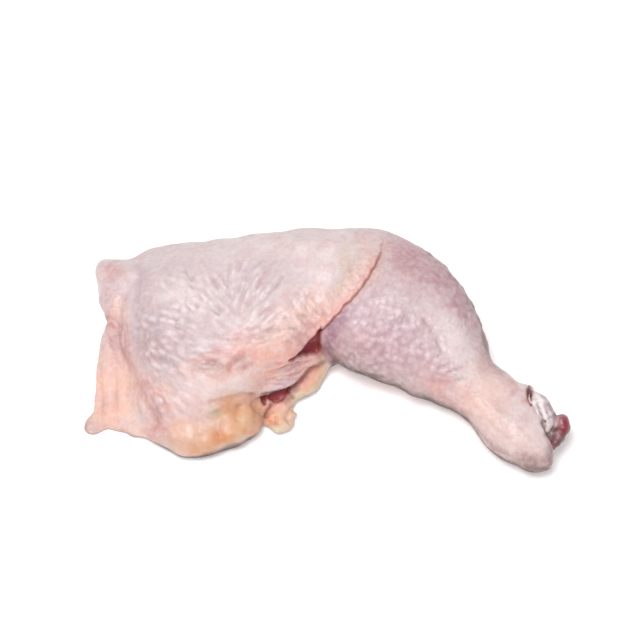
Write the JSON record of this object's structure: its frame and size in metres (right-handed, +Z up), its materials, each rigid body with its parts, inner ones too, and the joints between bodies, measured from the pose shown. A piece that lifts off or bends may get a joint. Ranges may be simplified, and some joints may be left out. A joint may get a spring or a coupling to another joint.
{
  "type": "raw chicken leg quarter",
  "caption": "Raw chicken leg quarter lying skin side up: thigh with loose skin flaps, bent drumstick, and the knuckle of the shank bone at the cut hock.",
  "frame": {"origin": "centre of the underside's bounding box, on the surface that the leg quarter lies on", "axes": "+X from the hip end to the cut hock, +Y from the knee pit's open side to the back of the thigh, +Z up, out of the skin side"},
  "size_m": [0.2076, 0.1134, 0.0428],
  "materials": {
    "skin": "raw poultry skin: pale pink, moist and softly glossy, with goose bumps, fine wrinkles and yellow fat",
    "bone": "wet white cartilage and bone with red marrow stains"
  },
  "bodies": {
    "root": {"leg_flesh_and_skin": "skin", "shank_bone": "bone"}
  },
  "joints": []
}
